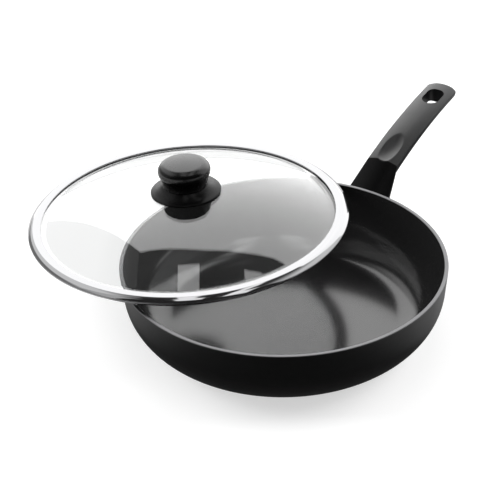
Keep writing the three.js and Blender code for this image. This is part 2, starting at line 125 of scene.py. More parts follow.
class HandleSizes(PropertyGroup):
    """Sizes of the moulded handle"""

    neck_drop: length("Neck drop", 0.0035, "Neck's top below the rim")
    neck_length: length("Neck length", 0.0305, "Wall to crease")
    neck_rise: length("Neck rise", 0.0205, "Rise from the wall to the crease")
    neck_width: length("Neck width", 0.0445, "Width at the wall")
    neck_depth: length("Neck depth", 0.027, "Depth at the wall")
    crease_depth: length("Crease depth", 0.016, "Depth at the crease")
    grip_length: length("Grip length", 0.1206, "Crease to end")
    grip_rise: length("Grip rise", 0.0264, "Rise from the crease to the end")
    grip_bow: length("Grip bow", 0.0036, "How far the grip arches up in its middle")
    grip_width: length("Grip width", 0.031, "Width of the grip")
    crown: length("Crown", 0.0028, "How far the top arches across the grip")
    grip_waist: length("Grip waist", 0.001, "How much thinner the grip is in its middle")
    end_depth: length("End depth", 0.016, "Depth at the end")
    end_round: length("End round", 0.0056, "Length of the rounded end")
    hole_width: length("Hole width", 0.0173, "Width of the hanging hole")
    hole_length: length("Hole length", 0.0236, "Length of the hanging hole")
    hole_margin: length("Hole margin", 0.0119, "Hanging hole to handle end")
    hole_corner: length("Hole corner", 0.006, "Rounding of the hole's far corners")
    hole_edge: length("Hole edge", 0.0008, "Rounding of the hole's upper edge")
    dent_length: length("Dent length", 0.038, "Length of the thumb dent")
    dent_width: length("Dent width", 0.0205, "Width of the thumb dent")
    dent_depth: length("Dent depth", 0.0034, "Depth of the thumb dent")
    dent_past_crease: length("Dent past crease", 0.003, "How far the dent runs over the crease")


class LidSizes(PropertyGroup):
    """Sizes and place of the lid"""

    shift: length("Shift", 0.1095, "Lid centre off the pan's centre")
    height: length("Height", 0.0751626, "Band's flat top above the table")
    bearing: angle("Bearing", 84.5, "Side to which the lid is shifted, counted from the handle")
    lean: angle("Lean", 2.7, "How far the lid leans to that side")
    radius: length("Radius", 0.1455, "Outer radius of the band")
    band_width: length("Band width", 0.0118, "Width of the band's ring")
    band_top: length("Band top", 0.0071, "Width of the band's flat top")
    band_sheet: length("Band sheet", 0.0008, "Thickness of the band's steel")
    skirt_radius: length("Skirt radius", 0.1388, "Outer radius of the skirt")
    glass: length("Glass", 0.004, "Thickness of the glass")
    glass_radius: length("Glass radius", 0.1409, "Radius of the glass")
    glass_border: length("Glass border", 0.0099, "Flat border of the glass inside the band")
    glass_rise: length("Glass rise", 0.0265, "Rise of the dome over its border")
    glass_hole: length("Glass hole", 0.005, "Radius of the hole for the knob's screw")


class KnobSizes(PropertyGroup):
    """Sizes of the lid's knob"""

    collar_radius: length("Collar radius", 0.0318, "Radius of the collar on the glass")
    collar_edge: length("Collar edge", 0.0012, "Height of the collar's upright edge")
    collar_height: length("Collar height", 0.006, "Rise of the collar's flare")
    collar_wall: length("Collar wall", 0.0026, "Thickness of the collar")
    waist_radius: length("Waist radius", 0.0203, "Radius where cap and collar meet")
    widest_radius: length("Cap radius", 0.0239, "Radius of the cap")
    widest_height: length("Cap height", 0.0134, "Height of the cap's widest line over the collar")
    height: length("Knob height", 0.0226, "Height of the knob over the collar")
    crown: length("Crown", 0.002, "Rise of the knob's top")
    hub_radius: length("Hub radius", 0.009, "Radius of the hub inside the collar")
    bore_radius: length("Bore radius", 0.0048, "Radius of the bore for the insert")
    bore_depth: length("Bore depth", 0.0133, "Depth of the bore for the insert")
    shank_radius: length("Shank radius", 0.0027, "Radius of the hole for the screw")


class Finishes(PropertyGroup):
    """Colours of the pan and lid"""

    coat: colour("Outer coat", (0.003, 0.003, 0.0032), "Satin coat on the outside")
    nonstick: colour("Non-stick", (0.014, 0.014, 0.0142), "Coat on the inside")
    rim: colour("Rim", (0.115, 0.115, 0.118), "Bare metal of the rim")
    moulding: colour("Moulding", (0.005, 0.005, 0.0052), "Handle")
    # The knob colour also gives the handle's neck its darker copy of the moulding, as painted shade
    knob: colour("Knob", (0.0015, 0.0015, 0.0016), "Knob and its collar")
    polished: colour("Band", (0.315, 0.315, 0.32), "Polished steel of the lid's band")
    steel: colour("Steel", (0.6, 0.6, 0.61), "Disc, bracket, screws and washers")
    brass: colour("Brass", (0.62, 0.45, 0.19), "Threaded insert")
    rubber: colour("Rubber", (0.02, 0.02, 0.02), "Bush in the glass")
    glass: colour("Glass", (0.985, 0.992, 0.99), "Tint of the glass")


class StageSettings(PropertyGroup):
    """Camera, floor and light"""

    distance: length("Distance", 1.53044, "Camera to the rim's centre, along the view")
    azimuth: angle("Azimuth", 56, "Turn of the handle from the camera's right")
    elevation: angle("Elevation", 32.509, "Camera's height angle")
    roll: angle("Roll", -1.53, "Tilt of the picture")
    aside: factor("Aside", 0.018417, "Rim centre right of the picture's centre, per distance")
    below: factor("Below", 0.005155, "Rim centre below the picture's centre, per distance")
    lens: factor("Lens", 125.25, "Focal length in millimetres")
    floor_size: length("Floor size", 12, "Side of the floor")
    floor: colour("Floor", (0.9, 0.9, 0.9), "Floor and backdrop")
    ambient: factor("Ambient", 0.15, "Soft light from all round")
    overhead_power: factor("Overhead lamp", 8, "Power of the overhead lamp in watts")
    side_power: factor("Side lamps", 32, "Power of each side lamp in watts")
    white_wall: factor("White wall", 2.9, "Brightness of the white wall in reflections")
    grey_wall: factor("Grey walls", 1.6, "Brightness of the side walls in reflections")
    ceiling: factor("Ceiling", 0.05, "Brightness of the dark ceiling in reflections")
    softbox: factor("Softbox", 2.4, "Brightness of the softboxes in reflections")


class PanSettings(PropertyGroup):
    """All settings of the pan, its lid and the stage"""

    pan: PointerProperty(type=PanSizes)
    handle: PointerProperty(type=HandleSizes)
    lid: PointerProperty(type=LidSizes)
    knob: PointerProperty(type=KnobSizes)
    finish: PointerProperty(type=Finishes)
    stage: PointerProperty(type=StageSettings)


# Mesh helpers


def outline(corners, closed=True):
    """Wire in the XZ plane through (radius, height, rounding) corners; a vertex bevel rounds each one"""
    bm = bmesh.new()
    verts = [bm.verts.new((radius, 0, height)) for radius, height, _ in corners]
    ends = verts[1:] + verts[:1] if closed else verts[1:]
    for a, b in zip(verts, ends):
        bm.edges.new((a, b))
    for vert, (_, _, rounding) in zip(verts, corners):
        if rounding:
            steps = BIG_ROUND_STEPS if rounding > BIG_ROUND else ROUND_STEPS
            round_vert(bm, vert, rounding, steps)
    return bm


def round_vert(bm, vert, rounding, steps):
    bmesh.ops.bevel(
        bm, geom=[vert], offset=rounding, offset_type="OFFSET", segments=steps, profile=0.5,
        affect="VERTICES", material=-1,
    )


def turn(bm):
    """Full spin of the wire about Z"""
    bmesh.ops.spin(
        bm, geom=bm.verts[:] + bm.edges[:], cent=(0, 0, 0), axis=(0, 0, 1), angle=2 * math.pi,
        steps=TURN_STEPS, use_merge=True,
    )


def arc(bm, vert, centre_height, turn_angle):
    """Spins one vertex about a point on the axis and returns the arc's last vertex"""
    made = bmesh.ops.spin(
        bm, geom=[vert], cent=(0, 0, centre_height), axis=(0, 1, 0), angle=turn_angle,
        steps=DOME_STEPS,
    )
    return next(item for item in made["geom_last"] if isinstance(item, bmesh.types.BMVert))


def shaped_grid(rings):
    """Tube over rings of equal length: a grid whose rows follow the rings, closed at its seam and ends"""
    bm = bmesh.new()
    rows, columns = len(rings) - 1, len(rings[0])
    bmesh.ops.create_grid(bm, x_segments=rows, y_segments=columns, size=0.5)
    for vert in bm.verts:
        row = round((vert.co.x + 0.5) * rows)
        column = round((vert.co.y + 0.5) * columns) % columns
        vert.co = rings[row][column]
    bmesh.ops.remove_doubles(bm, verts=bm.verts, dist=MERGE_DISTANCE)
    open_edges = [edge for edge in bm.edges if edge.is_boundary]
    bmesh.ops.holes_fill(bm, edges=open_edges, sides=0)
    return bm


def clean(bm):
    bmesh.ops.remove_doubles(bm, verts=bm.verts, dist=MERGE_DISTANCE)
    bmesh.ops.dissolve_degenerate(bm, edges=bm.edges, dist=MERGE_DISTANCE)
    bmesh.ops.recalc_face_normals(bm, faces=bm.faces)


def shade(bm):
    """Smooth faces with sharp edges kept sharp"""
    for face in bm.faces:
        face.smooth = True
    for edge in bm.edges:
        edge.smooth = edge.is_manifold and edge.calc_face_angle(0) < SHARP_ANGLE


def to_object(bm, name):
    mesh = bpy.data.meshes.new(name)
    bm.to_mesh(mesh)
    bm.free()
    made = bpy.data.objects.new(name, mesh)
    bpy.context.scene.collection.objects.link(made)
    return made


def turned_piece(bm, name, placed=Matrix.Identity(4)):
    """Object from a wire that is turned about Z and put in its place"""
    turn(bm)
    bmesh.ops.transform(bm, matrix=placed, verts=bm.verts)
    clean(bm)
    shade(bm)
    return to_object(bm, name)


def carve(piece, cutters):
    """Cuts the cutters out of the piece for good and removes them"""
    for cutter in cutters:
        modifier = piece.modifiers.new("carve", "BOOLEAN")
        modifier.operation = "DIFFERENCE"
        modifier.solver = "EXACT"
        modifier.object = cutter
    evaluated = piece.evaluated_get(bpy.context.evaluated_depsgraph_get())
    carved = bpy.data.meshes.new_from_object(evaluated)
    piece.modifiers.clear()
    piece.data = carved
    for cutter in cutters:
        bpy.data.objects.remove(cutter)
    bm = bmesh.new()
    bm.from_mesh(carved)
    bmesh.ops.remove_doubles(bm, verts=bm.verts, dist=MERGE_DISTANCE)
    shade(bm)
    bm.to_mesh(carved)
    bm.free()


def settle(piece, body, nodes, materials):
    """Rides the piece on its body in place of the CAD nodes and gives it its materials"""
    for made in materials:
        piece.data.materials.append(made)
    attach(piece, body)
    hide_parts(*nodes)


def lid_place(lid):
    """Matrix from the lid's own frame, with z = 0 on the band's flat top, to the row's"""
    bearing = Matrix.Rotation(lid.bearing, 4, "Z")
    lean = Matrix.Rotation(lid.lean, 4, "Y")
    return bearing @ Matrix.Translation((lid.shift, 0, lid.height)) @ lean


# Material helpers


def add(tree, kind, sockets=None, **settings):
    """New node; a socket's value is set, and another node's output is linked"""
    made = tree.nodes.new(kind)
    for key, value in settings.items():
        setattr(made, key, value)
    for key, value in (sockets or {}).items():
        if isinstance(value, NodeSocket):
            tree.links.new(value, made.inputs[key])
        else:
            made.inputs[key].default_value = value
    return made


def new_material(name):
    made = bpy.data.materials.new(name)
    made.use_nodes = True
    return made, made.node_tree, made.node_tree.nodes["Principled BSDF"]


def place(tree):
    return add(tree, "ShaderNodeTexCoord").outputs["Object"]


def unturned(tree, point):
    """Point with its turn about Z taken out: (radius, 0, height)"""
    flat = add(
        tree, "ShaderNodeVectorMath", {0: point, 1: (1, 1, 0)}, operation="MULTIPLY"
    ).outputs["Vector"]
    radius = add(tree, "ShaderNodeVectorMath", {0: flat}, operation="LENGTH").outputs["Value"]
    height = add(tree, "ShaderNodeSeparateXYZ", {"Vector": point}).outputs["Z"]
    return add(tree, "ShaderNodeCombineXYZ", {"X": radius, "Z": height}).outputs["Vector"]


def noise(tree, point, size, detail):
    """Noise whose grains are about that size"""
    return add(
        tree, "ShaderNodeTexNoise", {"Vector": point, "Scale": 1 / size, "Detail": detail}
    ).outputs["Fac"]


# Range that most of a noise's values lie in
NOISE_LOW = 0.3
NOISE_HIGH = 0.7


def spread(tree, value, low, high):
    """Noise stretched to run from low to high"""
    return add(tree, "ShaderNodeMapRange", {
        "Value": value, "From Min": NOISE_LOW, "From Max": NOISE_HIGH, "To Min": low, "To Max": high,
    }).outputs["Result"]


def tone(tree, value, base, dark, light):
    """Colour ramp from a darker to a lighter tone of the base colour"""
    made = add(tree, "ShaderNodeValToRGB", {"Fac": value})
    first, last = made.color_ramp.elements
    first.position, last.position = NOISE_LOW, NOISE_HIGH
    first.color = (*[channel * dark for channel in base], 1)
    last.color = (*[min(1, channel * light) for channel in base], 1)
    return made.outputs["Color"]


def bump(tree, height, strength, depth):
    return add(
        tree, "ShaderNodeBump", {"Height": height, "Strength": strength, "Distance": depth}
    ).outputs["Normal"]


def dress(tree, shader, tint, roughness, normal, specular=0.5, metallic=0):
    """Links a finish's tint, roughness and bump to its shader"""
    tree.links.new(tint, shader.inputs["Base Color"])
    tree.links.new(roughness, shader.inputs["Roughness"])
    tree.links.new(normal, shader.inputs["Normal"])
    shader.inputs["Specular IOR Level"].default_value = specular
    shader.inputs["Metallic"].default_value = metallic


def satin_coat(base):
    """Sprayed satin coat with a fine orange peel"""
    made, tree, shader = new_material("satin_coat")
    point = place(tree)
    peel = noise(tree, point, size=0.0011, detail=3)
    cloud = noise(tree, point, size=0.03, detail=3)
    dress(
        tree, shader, specular=0.25,
        tint=tone(tree, peel, base, dark=0.75, light=1.3),
        roughness=spread(tree, cloud, low=0.4, high=0.46),
        normal=bump(tree, peel, strength=0.25, depth=0.00006),
    )
    return made


def nonstick_coat(base):
    """Smooth non-stick coat with fine lighter grains over faint turning rings"""
    made, tree, shader = new_material("nonstick_coat")
    point = place(tree)
    grain = noise(tree, point, size=0.0007, detail=4)
    lines = noise(tree, unturned(tree, point), size=0.0006, detail=2)
    dress(
        tree, shader, specular=0.6,
        tint=tone(tree, grain, base, dark=0.85, light=1.25),
        roughness=spread(tree, grain, low=0.14, high=0.17),
        normal=bump(tree, lines, strength=0.06, depth=0.00003),
    )
    return made


def turned_metal(name, base, roughness, line, depth, mapping=None):
    """Metal with fine lines round its axis; mapping moves the axis of a piece that leans"""
    made, tree, shader = new_material(name)
    point = place(tree)
    if mapping:
        location, rotation = mapping
        point = add(
            tree, "ShaderNodeMapping",
            {"Vector": point, "Location": location, "Rotation": rotation}, vector_type="TEXTURE",
        ).outputs["Vector"]
    lines = noise(tree, unturned(tree, point), size=line, detail=3)
    cloud = noise(tree, point, size=0.02, detail=2)
    dress(
        tree, shader, metallic=1,
        tint=tone(tree, lines, base, dark=0.94, light=1.04),
        roughness=spread(tree, cloud, *roughness),
        normal=bump(tree, lines, strength=0.3, depth=depth),
    )
    return made


def moulded(name, base, roughness, specular):
    """Moulded resin with a fine eroded grain"""
    made, tree, shader = new_material(name)
    point = place(tree)
    grain = noise(tree, point, size=0.0005, detail=3)
    cloud = noise(tree, point, size=0.012, detail=3)
    dress(
        tree, shader, specular=specular,
        tint=tone(tree, grain, base, dark=0.75, light=1.3),
        roughness=spread(tree, cloud, *roughness),
        normal=bump(tree, grain, strength=0.3, depth=0.00005),
    )
    return made


def worked_metal(name, base, roughness):
    """Plain metal with a rolled surface"""
    made, tree, shader = new_material(name)
    grain = noise(tree, place(tree), size=0.0004, detail=3)
    dress(
        tree, shader, metallic=1,
        tint=tone(tree, grain, base, dark=0.85, light=1.1),
        roughness=spread(tree, grain, *roughness),
        normal=bump(tree, grain, strength=0.2, depth=0.00003),
    )
    return made


GLASS_IOR = 1.5


def clear_glass(base):
    """Clear tempered glass with the faintest film on it"""
    made, tree, shader = new_material("clear_glass")
    film = noise(tree, place(tree), size=0.03, detail=4)
    tree.links.new(spread(tree, film, low=0, high=0.004), shader.inputs["Roughness"])
    shader.inputs["Base Color"].default_value = (*base, 1)
    shader.inputs["Transmission Weight"].default_value = 1
    shader.inputs["IOR"].default_value = GLASS_IOR
    return made


# Handle shape

# Roundness of the handle's edges: 1 is an ellipse, less is squarer
NECK_TOP_ROUNDNESS = 0.8
GRIP_TOP_ROUNDNESS = 0.4
NECK_BELLY_ROUNDNESS = 0.45
CREASE_BELLY_ROUNDNESS = 0.62
END_BELLY_ROUNDNESS = 1.1
END_ROUNDNESS = 0.8

# Height of the rounded upper edge
NECK_SHOULDER = 0.008
GRIP_SHOULDER = 0.003

# A full rounding of the end or of the hole's near side would leave an edge without length
NEARLY_FULL = 0.999
END_EDGE = 0.0012

# Softness of the dent's rim, and how far past the rim the dent is felt, as shares of its size
DENT_SOFTNESS = 0.1
DENT_SKIRT = 0.4

# Half the washer's thickness and its clearance to the seat, and the length of the well's cutter
WELL_SEAT = 0.0007
WELL_DEPTH = 0.03


def lerp(a, b, share):
    return a + (b - a) * share


def evenly(points, count):
    """That many points at even distances along a closed line"""
    walked = [0]
    for a, b in zip(points, points[1:]):
        walked.append(walked[-1] + (b - a).length)
    even, at = [], 0
    for k in range(count):
        goal = walked[-1] * k / count
        while walked[at + 1] < goal:
            at += 1
        share = (goal - walked[at]) / (walked[at + 1] - walked[at])
        even.append(points[at].lerp(points[at + 1], share))
    return even


class HandleForm:
    """Sections of the handle along X, from the wall to its rounded end"""

    def __init__(self, pan, handle):
        self.pan = pan
        self.sizes = handle
        self.start = pan.rim_radius
        self.crease = pan.rim_radius + handle.neck_length
        self.tip = self.crease + handle.grip_length
        self.neck_top = pan.height - handle.neck_drop
        self.crease_top = self.neck_top + handle.neck_rise
        # The dent may show this far before the crease
        self.dent_start = self.crease - 2 * handle.dent_past_crease

    def grip_top(self, x):
        share = (x - self.crease) / self.sizes.grip_length
        bow = 4 * self.sizes.grip_bow * share * (1 - share)
        return self.crease_top + self.sizes.grip_rise * share + bow

    def grip_slope(self, x):
        share = (x - self.crease) / self.sizes.grip_length
        rise = self.sizes.grip_rise + 4 * self.sizes.grip_bow * (1 - 2 * share)
        return math.atan(rise / self.sizes.grip_length)

    def section(self, x):
        """Top, depth, half width, shoulder and the roundness of top and belly at x"""
        sizes = self.sizes
        if x <= self.crease:
            share = (x - self.start) / sizes.neck_length
            return (
                lerp(self.neck_top, self.crease_top, share),
                lerp(sizes.neck_depth, sizes.crease_depth, share),
                lerp(sizes.neck_width, sizes.grip_width, share) / 2,
                lerp(NECK_SHOULDER, GRIP_SHOULDER, share),
                lerp(NECK_TOP_ROUNDNESS, GRIP_TOP_ROUNDNESS, share),
                lerp(NECK_BELLY_ROUNDNESS, CREASE_BELLY_ROUNDNESS, share),
            )
        share = (x - self.crease) / sizes.grip_length
        hump = 4 * share * (1 - share)
        into_round = NEARLY_FULL * max(0, 1 - (self.tip - x) / sizes.end_round)
        narrowing = (1 - into_round ** (2 / END_ROUNDNESS)) ** (END_ROUNDNESS / 2)
        into_edge = min(1, max(0, 1 - (self.tip - x) / END_EDGE))
        edge_drop = END_EDGE * (1 - math.sqrt(1 - into_edge**2))
        return (
            self.grip_top(x) - edge_drop,
            lerp(sizes.crease_depth, sizes.end_depth, share) - sizes.grip_waist * hump - 2 * edge_drop,
            sizes.grip_width / 2 * narrowing,
            GRIP_SHOULDER,
            GRIP_TOP_ROUNDNESS,
            lerp(CREASE_BELLY_ROUNDNESS, END_BELLY_ROUNDNESS, share),
        )

    def wall_x(self, y, z):
        """Where the pan's outer wall stands at that height"""
        pan = self.pan
        centre_height = pan.stand + pan.corner
        radius = pan.rim_radius - (pan.height - max(z, centre_height)) * math.tan(pan.lean)
        if z < centre_height:
            radius -= pan.corner - math.sqrt(pan.corner**2 - (centre_height - z) ** 2)
        return math.sqrt((radius + GAP) ** 2 - y**2)

    def dented(self, x, z, y):
        """Height of a point on the top with the thumb dent pressed in"""
        sizes = self.sizes
        centre = self.crease + sizes.dent_length / 2 - sizes.dent_past_crease
        reach = ((x - centre) / (sizes.dent_length / 2)) ** 2 + (y / (sizes.dent_width / 2)) ** 2
        inside = 1 - reach
        if inside < -DENT_SKIRT:
            return z
        pressed = (inside + math.sqrt(inside**2 + DENT_SOFTNESS**2)) / 2
        return min(z, self.grip_top(x) - sizes.dent_depth * pressed)

    def edge(self, x):
        """Fine points round the section at x, from the middle of its underside"""
        top, depth, half_width, shoulder, top_roundness, belly_roundness = self.section(x)
        crown_share = self.sizes.crown / shoulder
        points = []
        for k in range(RING_SAMPLES + 1):
            turned_by = 2 * math.pi * k / RING_SAMPLES - math.pi / 2
            side, up = math.cos(turned_by), math.sin(turned_by)
            power = top_roundness if up >= 0 else belly_roundness
            reach = shoulder if up >= 0 else depth - shoulder
            y = math.copysign(half_width * abs(side) ** power, side)
            height = reach * abs(up) ** power
            if up > 0:
                height *= 1 - crown_share * (y / self.sizes.grip_width * 2) ** 2
            z = top - shoulder + math.copysign(height, up)
            points.append(Vector((x, y, z)))
        return points

    def ring(self, x):
        """Even points round the section at x, with the dent pressed in and the neck's end on the wall"""
        top, _, _, shoulder, _, _ = self.section(x)
        points = evenly(self.edge(x), RING_POINTS)
        for point in points:
            if point.z > top - shoulder and x > self.dent_start:
                point.z = self.dented(x, point.z, point.y)
        if x < self.crease:
            left = (self.crease - x) / self.sizes.neck_length
            for point in points:
                point.x -= left * (self.start - self.wall_x(point.y, point.z))
        return points

    def stations(self):
        neck = [lerp(self.start, self.crease, k / NECK_STEPS) for k in range(NECK_STEPS)]
        round_start = self.tip - self.sizes.end_round
        grip = [lerp(self.crease, round_start, k / GRIP_STEPS) for k in range(GRIP_STEPS)]
        end = [
            round_start + self.sizes.end_round * math.sin(math.pi / 2 * k / END_STEPS)
            for k in range(END_STEPS + 1)
        ]
        return neck + grip + end


def hole_cutter(form):
    """Hanging hole: round towards the pan, squarer towards the end, with a rounded upper edge"""
    sizes = form.sizes
    half, far = sizes.hole_width / 2, sizes.hole_length / 2
    bm = bmesh.new()
    corners = [(-far, -half), (far, -half), (far, half), (-far, half)]
    verts = [bm.verts.new((x, y, -2 * sizes.end_depth)) for x, y in corners]
    for a, b in zip(verts, verts[1:] + verts[:1]):
        bm.edges.new((a, b))
    for vert, (x, _) in zip(verts, corners):
        rounding = sizes.hole_corner if x > 0 else NEARLY_FULL * half
        round_vert(bm, vert, rounding, 2 * ROUND_STEPS)
    loop = bm.edges[:]
    bmesh.ops.contextual_create(bm, geom=loop)
    edge = sizes.hole_edge
    levels = [(-edge, 0)]
    for k in range(1, ROUND_STEPS + 1):
        turned_by = math.pi / 2 * k / ROUND_STEPS
        levels.append((-edge + edge * math.sin(turned_by), edge * (1 - math.cos(turned_by))))
    levels.append((sizes.end_depth, edge))
    widened = 0
    for height, wider in levels:
        made = bmesh.ops.extrude_edge_only(bm, edges=loop)["geom"]
        loop = [item for item in made if isinstance(item, bmesh.types.BMEdge)]
        ring = [item for item in made if isinstance(item, bmesh.types.BMVert)]
        grow_x = (far + wider) / (far + widened)
        grow_y = (half + wider) / (half + widened)
        bmesh.ops.scale(bm, vec=(grow_x, grow_y, 1), verts=ring)
        for vert in ring:
            vert.co.z = height
        widened = wider
    bmesh.ops.contextual_create(bm, geom=loop)
    clean(bm)
    centre = form.tip - sizes.hole_margin - far
    tilt = Matrix.Rotation(-form.grip_slope(centre), 4, "Y")
    placed = Matrix.Translation((centre, 0, form.grip_top(centre))) @ tilt
    bmesh.ops.transform(bm, matrix=placed, verts=bm.verts)
    return to_object(bm, "hole_cutter")


def well_cutter():
    """Counterbore in the neck's underside, round the CAD washer and screw"""
    low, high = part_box("handle_washer")
    screw_low, screw_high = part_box("handle_screw")
    centre = (low + high) / 2
    along = (screw_low + screw_high) / 2 - centre
    along = Vector((along.x, 0, along.z)).normalized()
    radius = (high.y - low.y) / 2 + GAP
    bm = bmesh.new()
    bmesh.ops.create_cone(
        bm, cap_ends=True, segments=WELL_STEPS, radius1=radius, radius2=radius, depth=WELL_DEPTH
    )
    bmesh.ops.translate(bm, vec=(0, 0, WELL_SEAT - WELL_DEPTH / 2), verts=bm.verts)
    turned_by = Vector((0, 0, 1)).rotation_difference(along).to_matrix().to_4x4()
    bmesh.ops.transform(bm, matrix=Matrix.Translation(centre) @ turned_by, verts=bm.verts)
    return to_object(bm, "well_cutter")


# Lid shape

# Rolled band: lip on the glass, convex shoulder, fine groove under it, side, foot and skirt
BAND_LIP = 0.0011
SHOULDER_HEIGHT = 0.0032
BAND_GROOVE = 0.0003
SIDE_HEIGHT = 0.0019
FOOT_BEVEL = 0.003
SKIRT_DROP = 0.0036

# Middle of the shoulder, as shares of its width and height
SHOULDER_MIDDLE = 0.5
SHOULDER_FALL = 0.36

# Thickness of the rolled side, counted in sheets
SIDE_SHEETS = 1.4

SHOULDER_ROUND = 0.0012
SIDE_ROUND = 0.001
FOOT_ROUND = 0.0008
GLASS_BEND_ROUND = 0.0025

# Bend of the collar's flare, as shares of its width and height
FLARE_MIDDLE = 0.4
FLARE_RISE = 0.35
FLARE_ROUND = 0.004
HOLLOW_ROUND = 0.001

# Cap: a height share for the top of its waist, and corners that its roundings cut back to the real radii
CAP_WAIST_SHARE = 0.33
CAP_WAIST_CORNER = 0.0002
CAP_WIDEST_CORNER = 0.0005
CAP_TOP_INSET = 0.0022
CAP_SIDE_ROUND = 0.003
CAP_TOP_ROUND = 0.005

# Gloss of the knob's two pieces; the collar's lower gloss is painted shade under the cap
COLLAR_SHADE_SPECULAR = 0.1
CAP_SPECULAR = 0.45


class LidDome:
    """Ball that the glass's dome is cut from, in the lid's own frame"""

    def __init__(self, lid):
        reach = lid.glass_radius - lid.glass_border
        self.border_top = -BAND_LIP - GAP
        self.border_low = self.border_top - lid.glass
        self.radius = (reach**2 + lid.glass_rise**2) / (2 * lid.glass_rise)
        self.centre = self.border_top + lid.glass_rise - self.radius

    def height(self, at, depth):
        return self.centre + math.sqrt((self.radius - depth) ** 2 - at**2)

    def turn_to(self, level, start, depth):
        """Turn about the ball's centre from a start radius out to a level"""
        radius = self.radius - depth
        return math.acos((level - self.centre) / radius) - math.asin(start / radius)


# Pieces

# Order of the vessel's finishes; its outside has the first
INSIDE = 1
RIM = 2

# Depth of the bare rim, counted in rim bevels, and the least upward share of a floor face's normal
RIM_DEPTH = 1.6
FLOOR_UPWARD = 0.5

# Turned grooves of the base disc: places as shares of its radius, depth and half width
GROOVE_PLACES = (0.25, 0.5, 0.75)
GROOVE_DEPTH = 0.0002
GROOVE_HALF = 0.0009


class SAUTE_OT_vessel(Operator):
    """Turned vessel with a satin outside, a non-stick inside and a bare rim"""

    bl_idname = "saute.vessel"
    bl_label = "Vessel"

    def execute(self, context):
        pan, finish = context.scene.saute_pan.pan, context.scene.saute_pan.finish
        slope = math.tan(pan.lean)
        tangent = math.tan((math.pi / 2 - pan.lean) / 2)
        bore = pan.rim_radius - pan.wall
        recess = pan.disc + GAP
        recess_radius = pan.disc_radius + GAP
        outer_foot = pan.rim_radius - (pan.height - pan.stand) * slope
        inner_foot = bore - (pan.height - pan.floor) * slope
        bm = outline([
            (0, recess, 0),
            (recess_radius, recess, 0),
            (recess_radius, pan.stand, FINE_ROUND),
            (outer_foot, pan.stand, pan.corner * tangent),
            (pan.rim_radius, pan.height, pan.rim_bevel),
            (bore, pan.height, pan.rim_bevel),
            (inner_foot, pan.floor, pan.inner_corner * tangent),
            (0, pan.floor + pan.floor_dome, 0),
        ], closed=False)
        turn(bm)
        clean(bm)
        rim_low = pan.height - RIM_DEPTH * pan.rim_bevel
        for face in bm.faces:
            centre = face.calc_center_median()
            outward = face.normal.dot(Vector((centre.x, centre.y, 0)))
            if centre.z > rim_low:
                face.material_index = RIM
            elif centre.z > pan.floor - GAP and (outward < 0 or face.normal.z > FLOOR_UPWARD):
                face.material_index = INSIDE
        shade(bm)
        piece = to_object(bm, "vessel")
        settle(piece, "pan", ["pan_body"], [
            satin_coat(finish.coat),
            nonstick_coat(finish.nonstick),
            turned_metal("bare_rim", finish.rim, roughness=(0.28, 0.36), line=0.0004, depth=0.00003),
        ])
        return {"FINISHED"}


class SAUTE_OT_disc(Operator):
    """Steel disc in the underside with shallow turned grooves"""

    bl_idname = "saute.disc"
    bl_label = "Base Disc"

    def execute(self, context):
        pan, finish = context.scene.saute_pan.pan, context.scene.saute_pan.finish
        corners = [(0, 0, 0)]
        for share in GROOVE_PLACES:
            middle = share * pan.disc_radius
            corners += [
                (middle - GROOVE_HALF, 0, 0),
                (middle, GROOVE_DEPTH, FINE_ROUND),
                (middle + GROOVE_HALF, 0, 0),
            ]
        corners += [
            (pan.disc_radius, 0, EDGE_ROUND),
            (pan.disc_radius, pan.disc, HAIR_ROUND),
            (0, pan.disc, 0),
        ]
        piece = turned_piece(outline(corners, closed=False), "base_disc")
        settle(piece, "pan", ["induction_base"], [
            turned_metal("turned_disc", finish.steel, roughness=(0.26, 0.34), line=0.0005, depth=0.00005),
        ])
        return {"FINISHED"}


class SAUTE_OT_handle(Operator):
    """Moulded handle with neck, thumb dent, hanging hole and screw well"""

    bl_idname = "saute.handle"
    bl_label = "Handle"

    def execute(self, context):
        settings = context.scene.saute_pan
        form = HandleForm(settings.pan, settings.handle)
        bm = shaped_grid([form.ring(x) for x in form.stations()])
        clean(bm)
        piece = to_object(bm, "handle")
        carve(piece, [hole_cutter(form), well_cutter()])
        # The neck, before the crease, gets a darker and duller copy of the moulding: painted shade on the
        # neck
        for face in piece.data.polygons:
            face.material_index = int(face.center.x < form.crease)
        settle(piece, "pan", ["handle_grip"], [
            moulded("handle_moulding", settings.finish.moulding, roughness=(0.3, 0.38), specular=0.42),
            moulded("neck_painted_shade_moulding", settings.finish.knob, roughness=(0.3, 0.38), specular=0.06),
        ])
        return {"FINISHED"}


class SAUTE_OT_glass(Operator):
    """Domed glass with a flat border and a centre hole"""

    bl_idname = "saute.glass"
    bl_label = "Lid Glass"

    def execute(self, context):
        settings = context.scene.saute_pan
        lid = settings.lid
        dome = LidDome(lid)
        bm = bmesh.new()
        first = bm.verts.new((lid.glass_hole, 0, dome.height(lid.glass_hole, 0)))
        upper = arc(bm, first, dome.centre, dome.turn_to(dome.border_top, lid.glass_hole, 0))
        edge_top = bm.verts.new((lid.glass_radius, 0, dome.border_top))
        edge_low = bm.verts.new((lid.glass_radius, 0, dome.border_low))
        start = bm.verts.new((lid.glass_hole, 0, dome.height(lid.glass_hole, lid.glass)))
        lower = arc(bm, start, dome.centre, dome.turn_to(dome.border_low, lid.glass_hole, lid.glass))
        for a, b in ((upper, edge_top), (edge_top, edge_low), (edge_low, lower), (start, first)):
            bm.edges.new((a, b))
        edge_round = lid.glass / 3
        for vert, rounding in (
            (edge_top, edge_round), (edge_low, edge_round), (upper, GLASS_BEND_ROUND)
        ):
            round_vert(bm, vert, rounding, ROUND_STEPS)
        piece = turned_piece(bm, "lid_pane", lid_place(lid))
        piece.visible_shadow = False
        settle(piece, "lid", ["lid_glass"], [clear_glass(settings.finish.glass)])
        return {"FINISHED"}


